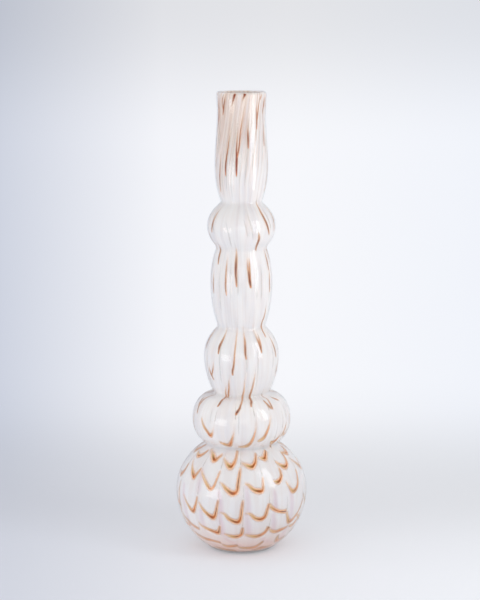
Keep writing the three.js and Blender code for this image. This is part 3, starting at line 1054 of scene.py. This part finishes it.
streakKind = {**tailKind, "halo": 1.0, "weight": 0.15, "weightByWidth": 0.05, "fadeIn": 0.2, "fadeOut": 0.4}
greyStreakKind = {**streakKind, "tone": 0.55}
faintTone = 0.4
mainKinds = {
    "thread_belly_1": {**threadKind, "widthShare": 0.75},
    "thread_lower_bulb_1": {**threadKind, "weight": 0.56, "fadeOut": 0.55},
    "thread_middle_bulb_1": dropKind,
    "thread_barrel_1": dropKind,
    "thread_bead_1": dropKind,
    "thread_lower_bulb_2": dropKind,
    "thread_neck_1": neckKind,
    "thread_neck_2": neckKind,
}


def leanAt(height):  # how far the drawn lines have turned at a height, in degrees
    bead = lean["bead"] * smoothstep(height, *lean["beadHeights"])
    neck = lean["neck"] * max(height - lean["neckFrom"], 0)
    return bead + neck + lean["steeper"] * max(height - lean["steeperFrom"], 0) ** 2


def turnStrokes(strokes):  # the strokes of one turn of thread, all the way round
    everything = list(strokes)
    for turn, first, last in combing["backTurns"]:
        for points in strokes:
            middle = sum(point[0] for point in points) / len(points)
            if not first <= middle <= last:
                continue
            lift = random.uniform(-1, 1) * combing["heightPlay"]
            shift = turn + random.uniform(-1, 1) * combing["anglePlay"]
            stretch = random.uniform(*combing["stretches"])
            low = min(point[1] for point in points)
            moved = []
            for angle, height, width in points:
                level = min(low + lift + (height - low) * stretch, combing["backTop"])
                moved.append((angle + shift, level, width))
            everything.append(moved)
    return everything


def tailOf(points, length):  # the faint line that goes on upward from the end of a stroke
    parts = tailPlay["parts"]
    reach = length * random.uniform(*tailPlay["reaches"])
    aside = random.uniform(-tailPlay["lean"], tailPlay["lean"])
    tail = []
    for part in range(parts + 1):
        angle = points[-1][0] + aside * part / parts
        height = points[-1][1] - tailPlay["overlap"] + reach * part / parts
        tail.append((angle, height, tailPlay["width"] - tailPlay["taper"] * part))
    return tail


def drawnStreaks(band):
    lines = []
    span = band["high"] - band["low"]
    parts = streakPlay["parts"]
    for index in range(band["count"]):
        angle = (index + random.uniform(-streakPlay["angle"], streakPlay["angle"])) * 360 / band["count"]
        low = band["low"] + span * random.uniform(0, streakPlay["low"])
        high = band["high"] - span * random.uniform(0, streakPlay["high"])
        width = random.uniform(*band["widths"])
        heights = [lerp(low, high, part / parts) for part in range(parts + 1)]
        lines.append([(angle + leanAt(height), height, width) for height in heights])
    return lines


def combThread(node, strokes, material):
    around = turnStrokes(strokes)
    mainKind = mainKinds.get(node, threadKind)
    lines = [(points, lipKind if points[0][1] > combing["lipFrom"] else mainKind) for points in around]
    if node in tails:
        lines += [(tailOf(points, tails[node]), tailKind) for points in around]
    if node in streakBands:
        streaks = drawnStreaks(streakBands[node])
        lines += [(points, random.choice((streakKind, greyStreakKind))) for points in streaks]
    ribbons = []
    ceiling = combing["bellyTop"] if "belly" in node else combing["top"]
    for index, (points, kind) in enumerate(lines):
        deeper = combing["faintSink"] if kind["tone"] > faintTone else 0
        higher = index % combing["layerCount"] * combing["layerStep"]
        ribbons.append(layStroke(points, layers["thread"] + deeper - higher, kind, ceiling))
    deselectAll()
    for ribbon in ribbons:
        ribbon.select_set(True)
    bpy.context.view_layer.objects.active = ribbons[0]
    bpy.ops.object.join()
    thread = bpy.context.object
    thread.name = "combed_" + node
    thread.data.name = thread.name
    sunk = thread.modifiers.new("sunk", "SOLIDIFY")
    sunk.thickness = combing["thickness"]
    sunk.offset = -1
    bpy.ops.object.modifier_apply(modifier="sunk")
    finishMesh(thread)
    thread.data.materials.append(material)
    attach(thread, "root")
    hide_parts(node)


def combAllThreads():
    material = makeAmberThread()
    for node, strokes in frontStrokes.items():
        combThread(node, strokes, material)
    print("thread combed")


combAllThreads()


# The pale light behind the vase, which the camera and reflections see. It is laid out by how far
# across and how high a place stands in front of the photograph's lens, as shares of its distance.
washLook = {
    "stops": [(0.0, "#cfd4e1"), (0.34, "#f4f5fa"), (0.6, "#f7f8fc"), (1.0, "#f1f4fb")],
    "nearest": 0.05,
    "ranges": {
        "across": (-0.133, 0.133, 0, 1),
        "top": (-0.085, -0.002, 1, 0.83),
        "low": (-0.293, -0.206, 0.82, 1),
        "front": (-0.309, -0.281, 0.12, 0),
    },
}


def paintWash(material, aim, kind, plain, beyond):  # aim points from the lens; beyond says where it shows
    look = washLook
    ranges = rangesIn(look)
    split = addNode(material, "SeparateXYZ", {0: aim})
    ahead = addNode(material, "Math", {"operation": "MAXIMUM", 0: split.outputs[1], 1: look["nearest"]})
    across = addNode(material, "Math", {"operation": "DIVIDE", 0: split.outputs[0], 1: ahead})
    rise = addNode(material, "Math", {"operation": "DIVIDE", 0: split.outputs[2], 1: ahead})
    sideways = addNode(material, "MapRange", {"Value": across, **ranges["across"]})
    wash = setRamp(addNode(material, "ValToRGB", {"Fac": sideways}), look["stops"])
    top, low, front = [
        addNode(material, "MapRange", {**smooth, "Value": rise, **ranges[name]})
        for name in ("top", "low", "front")
    ]
    lowLit = addNode(material, "Math", {"operation": "ADD", 0: low, 1: front})
    strength = addNode(material, "Math", {"operation": "MULTIPLY", 0: top, 1: lowLit})
    glow = addNode(material, kind, {"Color": wash, "Strength": strength})
    # Only the camera's rays and reflections see it, so it gives the vase no light
    rays = addNode(material, "LightPath", {}).outputs
    kinds = {0: rays["Is Camera Ray"], 1: rays["Is Glossy Ray"]}
    seen = addNode(material, "Math", {"operation": "MAXIMUM", **kinds})
    share = addNode(material, "Math", {"operation": "MULTIPLY", 0: seen, 1: beyond})
    return addNode(material, "MixShader", {0: share, 1: plain, 2: glow})


# Floor: a wide round table top, far larger than the picture
floor = {"radius": 3.2, "corners": 128, "thickness": 0.03, "edge": 0.008}
floorLook = {
    # painted light: darker on the left, lighter on the right
    "left": "#dde1ec",
    "right": "#f8fafe",
    "roughness": 0.9,
    "specular": 0.1,
    "ranges": {"sideways": (-0.4, 0.4, 0, 1), "glow": (0.1, 0.78, 0.36, 1)},
}


def mattFloor():  # matt painted board: pale bluish grey, lighter to the right
    look = floorLook
    ranges = rangesIn(look)
    material = newMaterial("mattPaintedBoard")
    place = addNode(material, "TexCoord", {}).outputs["Object"]
    split = addNode(material, "SeparateXYZ", {0: place})
    sideways = addNode(material, "MapRange", {"Value": split.outputs[0], **ranges["sideways"]})
    # painted light: the board is darker to the left and lighter to the right, where the lamps stand
    tints = {6: colour(look["left"]), 7: colour(look["right"])}
    paintedLight = addNode(material, "Mix", {"data_type": "RGBA", 0: sideways, **tints})
    matt = {"Roughness": look["roughness"], "Specular IOR Level": look["specular"]}
    board = addNode(material, "BsdfPrincipled", {"Base Color": paintedLight.outputs[2], **matt})
    fromLens = (0, camera["distance"], -camera["height"])
    aim = addNode(material, "VectorMath", {"operation": "ADD", 0: place, 1: fromLens})
    beyond = addNode(material, "MapRange", {**smooth, "Value": split.outputs[1], **ranges["glow"]})
    washed = paintWash(material, aim, "Emission", board, beyond)
    addNode(material, "OutputMaterial", {"Surface": washed})
    return material


def layFloor():
    sizes = floor
    deselectAll()
    bpy.ops.mesh.primitive_circle_add(vertices=sizes["corners"], radius=sizes["radius"], fill_type="NGON")
    board = bpy.context.object
    board.name = "floorBoard"
    bpy.ops.object.mode_set(mode="EDIT")
    bpy.ops.mesh.select_all(action="SELECT")
    bpy.ops.mesh.inset(thickness=sizes["edge"])
    bpy.ops.mesh.select_all(action="DESELECT")
    bpy.ops.object.mode_set(mode="OBJECT")
    rim = sizes["radius"] - sizes["edge"] / 2
    for vertex in board.data.vertices:
        vertex.select = vertex.co.xy.length > rim
    for edge in board.data.edges:
        edge.select = all(board.data.vertices[end].select for end in edge.vertices)
    bpy.ops.object.mode_set(mode="EDIT")
    bpy.ops.mesh.select_mode(type="EDGE")
    bpy.ops.transform.translate(value=(0, 0, -sizes["edge"] / 2))
    bpy.ops.mesh.extrude_region_move(TRANSFORM_OT_translate={"value": (0, 0, -sizes["thickness"])})
    bpy.ops.mesh.edge_face_add()
    bpy.ops.object.mode_set(mode="OBJECT")
    board.data.materials.append(mattFloor())


layFloor()
print("floor laid")


# Light: two strip softboxes close by on the right, a soft box and a fill on the left, a wide one in
# front, and a pale room. Turn is in degrees from the front, growing to the right.
lamps = {
    "outerStrip": {
        "turn": 56, "distance": 0.5, "height": 0.44, "aim": 0.4,
        "width": 0.11, "length": 0.46, "radiance": 4.5, "shines": True,
    },
    "innerStrip": {
        "turn": 41, "distance": 0.5, "height": 0.47, "aim": 0.42,
        "width": 0.06, "length": 0.4, "radiance": 2.8, "shines": True,
    },
    "leftBox": {
        "turn": -47, "distance": 1.2, "height": 0.2, "aim": 0.22,
        "width": 0.6, "length": 0.42, "radiance": 3.1, "shines": True,
    },
    "leftFill": {
        "turn": -80, "distance": 1.0, "height": 0.38, "aim": 0.33,
        "width": 0.6, "length": 0.4, "radiance": 1.4, "shines": False,
    },
    "frontBox": {
        "turn": -6, "distance": 1.9, "height": 0.45, "aim": 0.1,
        "width": 1.2, "length": 0.6, "radiance": 1.0, "shines": True,
    },
}
room = {"colour": "#f9f8f8", "strength": 0.76, "seenLift": 0.15, "ranges": {"wash": (0.3, 0.7, 0, 1)}}


def hangLamps():
    for name, lamp in lamps.items():
        turn = math.radians(lamp["turn"])
        away = lamp["distance"]
        place = Vector((away * math.sin(turn), -away * math.cos(turn), lamp["height"]))
        facing = (Vector((0, 0, lamp["aim"])) - place).to_track_quat("-Z", "Y").to_euler()
        deselectAll()
        bpy.ops.object.light_add(type="AREA", location=place, rotation=facing)
        light = bpy.context.object
        light.name = name
        light.data.shape = "RECTANGLE"
        light.data.size = lamp["width"]
        light.data.size_y = lamp["length"]
        light.data.energy = lamp["radiance"] * math.pi * lamp["width"] * lamp["length"]
        light.visible_camera = False
        light.visible_glossy = lamp["shines"]


def lightRoom():  # even light from all sides, with the pale wash behind the vase for what sees it
    world = bpy.data.worlds.new("paleRoom")
    world.use_nodes = True
    world.node_tree.nodes.clear()
    aim = addNode(world, "TexCoord", {}).outputs["Generated"]
    seen = addNode(world, "LightPath", {}).outputs["Is Camera Ray"]
    levels = {1: room["seenLift"], 2: room["strength"]}
    even = addNode(world, "Math", {"operation": "MULTIPLY_ADD", 0: seen, **levels})
    around = addNode(world, "Background", {"Color": colour(room["colour"]), "Strength": even})
    split = addNode(world, "SeparateXYZ", {0: aim})
    beyond = addNode(world, "MapRange", {"Value": split.outputs[1], **rangesIn(room)["wash"]})
    washed = paintWash(world, aim, "Background", around, beyond)
    addNode(world, "OutputWorld", {"Surface": washed})
    bpy.context.scene.world = world


hangLamps()
lightRoom()
bpy.context.scene.view_settings.view_transform = "Standard"
seeThrough = 24  # how often light may cross the clear casing and the thread's fringes
bpy.context.scene.cycles.transparent_max_bounces = seeThrough
print("lights hung")
